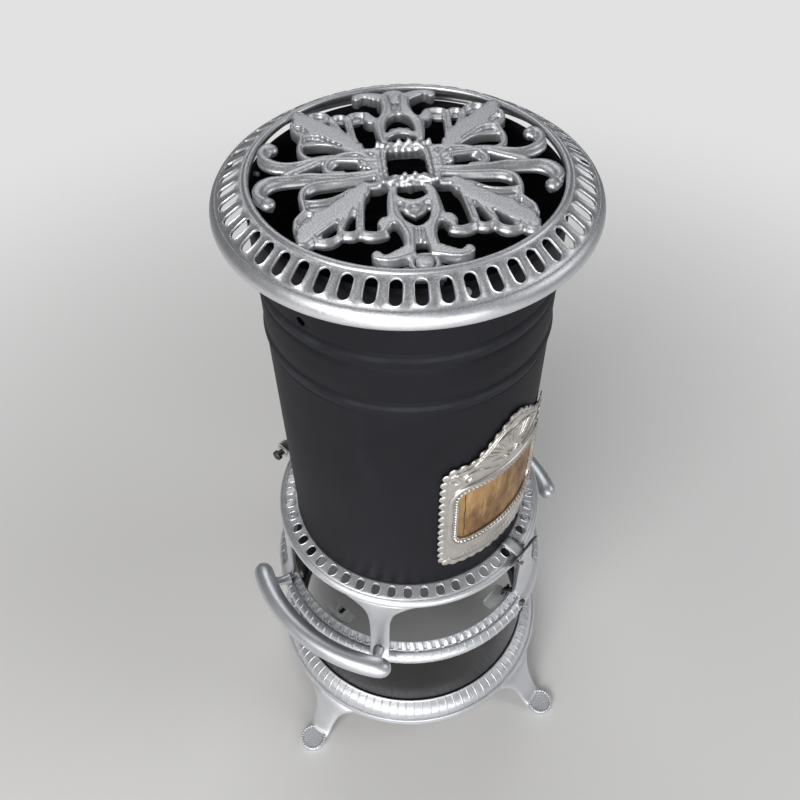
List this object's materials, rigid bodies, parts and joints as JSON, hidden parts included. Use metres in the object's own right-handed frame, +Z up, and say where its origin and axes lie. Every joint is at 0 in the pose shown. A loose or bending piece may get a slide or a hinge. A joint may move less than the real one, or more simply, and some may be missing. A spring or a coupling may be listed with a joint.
{
  "type": "portable cylindrical parlour stove",
  "caption": "Cylindrical parlour stove: black sheet drum that tilts back on a silver cast gallery with paw feet, slotted top ring, openwork trivet and mica window",
  "frame": {"origin": "centre of the four feet on the floor, on the drum's axis", "axes": "+Z up along the drum's axis, -Y towards the window, +X to the right seen from the window side"},
  "size_m": [0.3798, 0.3798, 0.6259],
  "materials": {
    "silver_casting": "aluminium paint, satin, fine cast grain",
    "black_sheet": "stove black, satin",
    "nickel": "nickel plate, lightly worn",
    "mica": "amber mica, mottled",
    "grey_steel": "dull steel",
    "black_steel": "blackened steel"
  },
  "bodies": {
    "base": {"base_casting": "silver_casting", "lower_sleeve": "black_sheet", "gallery_casting": "silver_casting", "sleeve_screw_1": "black_steel", "sleeve_screw_2": "black_steel", "sleeve_screw_3": "black_steel", "handle_left": "silver_casting", "handle_right": "silver_casting", "handle_screw_1": "grey_steel", "handle_screw_2": "grey_steel", "handle_screw_3": "grey_steel", "handle_screw_4": "grey_steel", "fount_bracket_1": "grey_steel", "bracket_screw_1": "black_steel", "fount_bracket_2": "grey_steel", "bracket_screw_2": "black_steel", "fount_bracket_3": "grey_steel", "bracket_screw_3": "black_steel", "fount_bracket_4": "grey_steel", "bracket_screw_4": "black_steel", "hinge_bolt_left": "black_steel", "hinge_washer_left": "grey_steel", "hinge_nut_left": "grey_steel", "hinge_bolt_right": "black_steel", "hinge_washer_right": "grey_steel", "hinge_nut_right": "grey_steel", "catch_screw": "black_steel", "catch_nut": "black_steel"},
    "drum": {"drum_shell": "black_sheet", "top_ring": "silver_casting", "ring_screw_1": "grey_steel", "ring_screw_2": "grey_steel", "ring_screw_3": "grey_steel", "trivet_pin": "silver_casting", "window_plate": "nickel", "mica_pane": "mica", "plate_screw_1": "black_steel", "plate_screw_2": "black_steel", "plate_screw_3": "black_steel", "plate_screw_4": "black_steel", "hinge_leaf": "black_steel", "leaf_rivet_1": "black_steel", "leaf_rivet_2": "black_steel", "leaf_rivet_3": "black_steel", "leaf_rivet_4": "black_steel"},
    "trivet": {"trivet": "silver_casting"},
    "catch": {"catch_leaf": "grey_steel", "catch_plate": "grey_steel"}
  },
  "joints": [
    {"name": "drum_tilt", "type": "hinge", "parent": "base", "child": "drum", "pos_m": [0, 0.124, 0.2637], "axis": [-1, 0, 0], "range_deg": [0, 60]},
    {"name": "trivet_lift", "type": "slide", "parent": "drum", "child": "trivet", "axis": [0, 0, 1], "range_m": [0, 0.014]},
    {"name": "catch_spring", "type": "hinge", "parent": "base", "child": "catch", "pos_m": [0.01013, -0.11581, 0.1775], "axis": [0.9962, 0.0872, 0], "range_deg": [0, 3.5], "stiffness_Nm_per_rad": 4}
  ]
}
